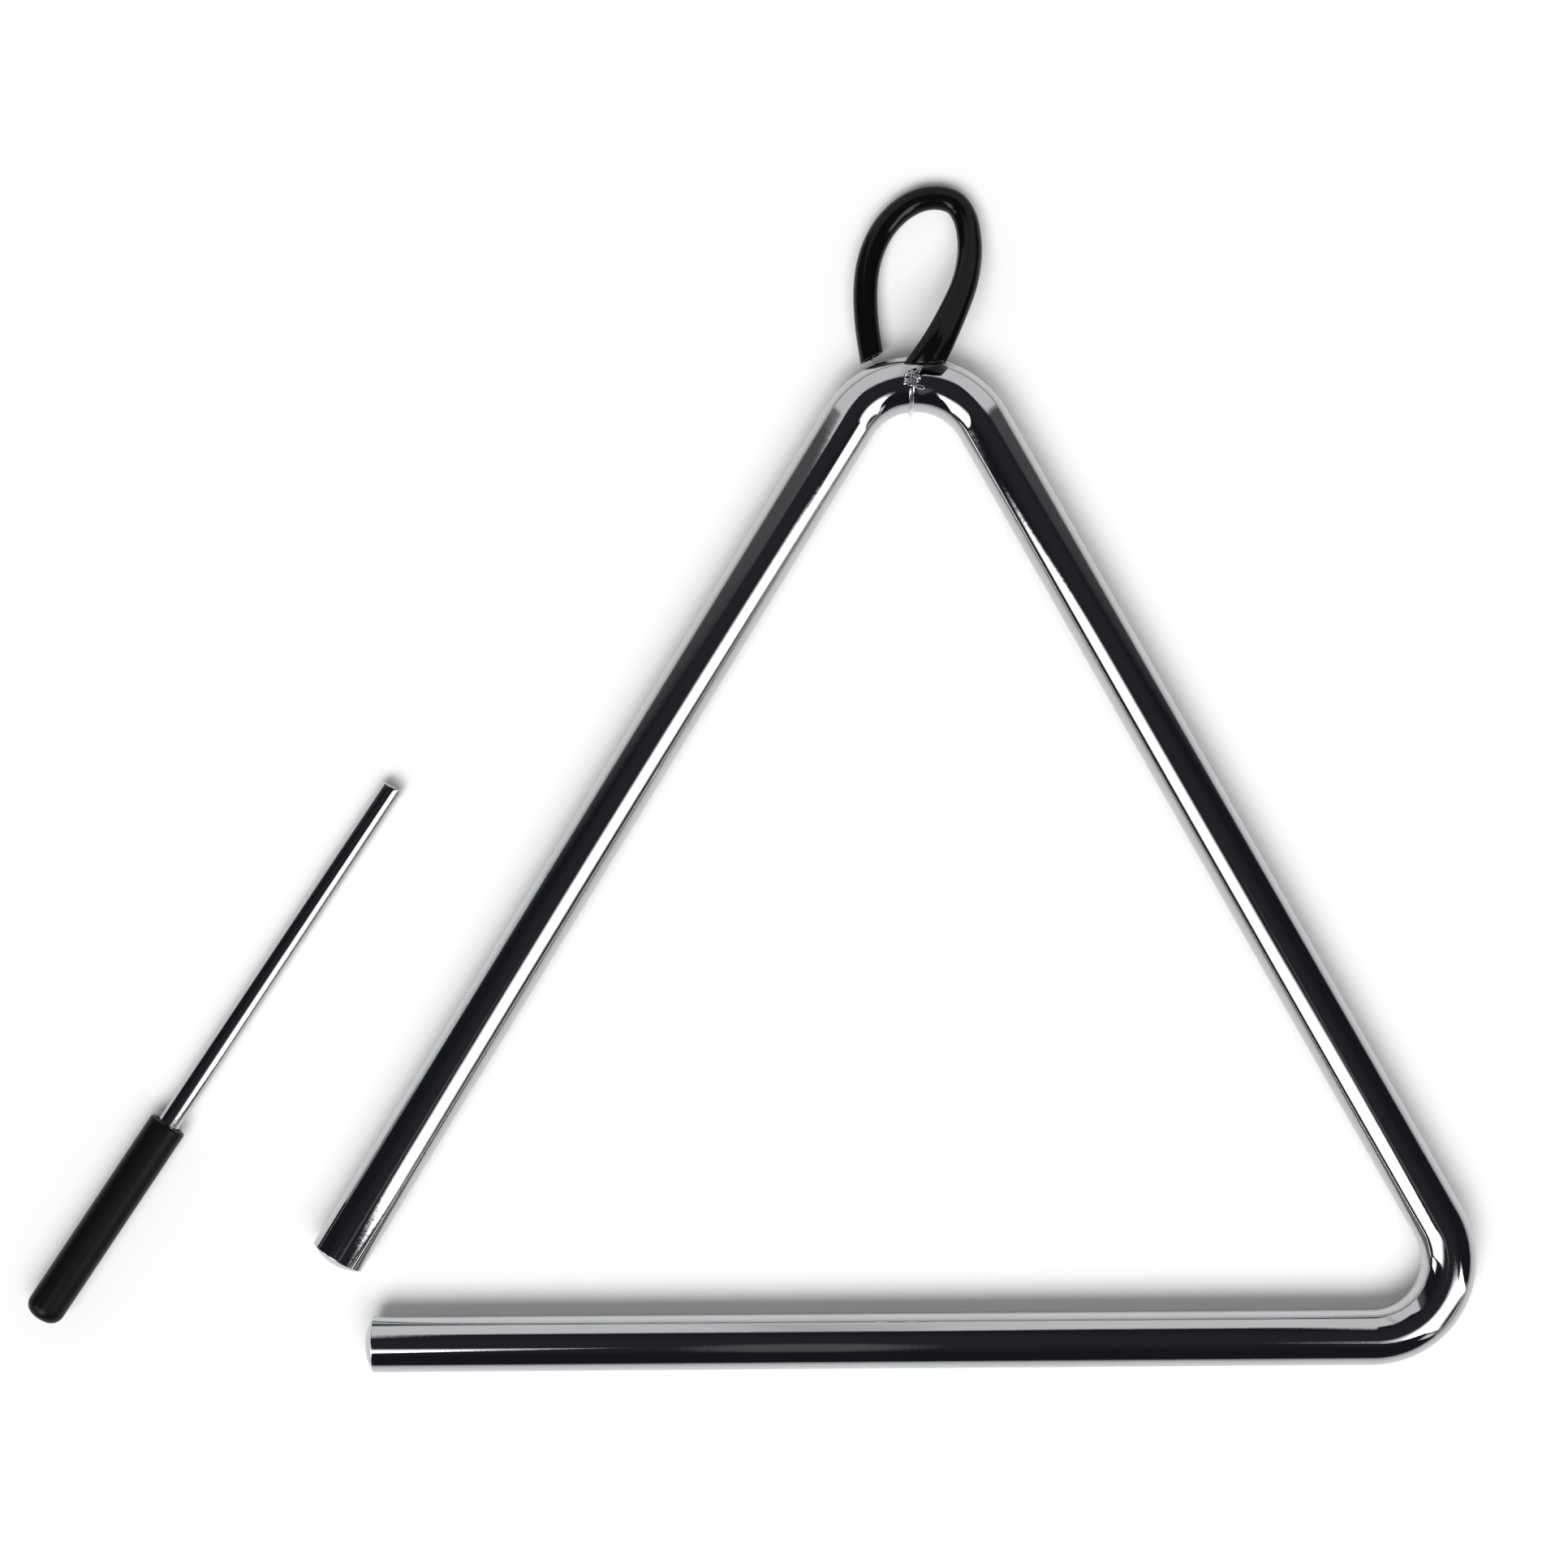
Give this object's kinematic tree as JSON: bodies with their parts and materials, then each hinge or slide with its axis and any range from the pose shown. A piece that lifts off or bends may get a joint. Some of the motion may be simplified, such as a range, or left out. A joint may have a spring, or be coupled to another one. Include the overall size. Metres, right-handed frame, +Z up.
{
  "type": "triangle instrument",
  "caption": "Bent round metal bar forming an open triangle, with a black tube loop tied to its apex by a clear line, and a straight beater rod with a black grip lying beside it.",
  "frame": {"origin": "on the table, under the middle of the box round the whole set seen from above", "axes": "+X along the base leg towards the closed corner, +Y from the base leg towards the apex, +Z up from the table"},
  "size_m": [0.2614, 0.2138, 0.0152],
  "materials": {
    "bar_chrome": "polished",
    "sleeve_pvc": "satin",
    "clear_line": "clear",
    "rod_chrome": "polished",
    "grip_pvc": "satin"
  },
  "bodies": {
    "triangle": {"triangle_bar": "bar_chrome"},
    "hanger": {"hanger_sleeve": "sleeve_pvc", "hanger_line": "clear_line"},
    "beater": {"beater_rod": "rod_chrome", "beater_grip": "grip_pvc"}
  },
  "joints": [
    {"name": "hanger_swing", "type": "hinge", "parent": "triangle", "child": "hanger", "pos_m": [0.03058, 0.07056, 0.00595], "axis": [1, 0, 0], "range_deg": [0, 90]},
    {"name": "beater_lift", "type": "slide", "parent": "triangle", "child": "beater", "axis": [0, 0, 1], "range_m": [0, 0.1]}
  ]
}
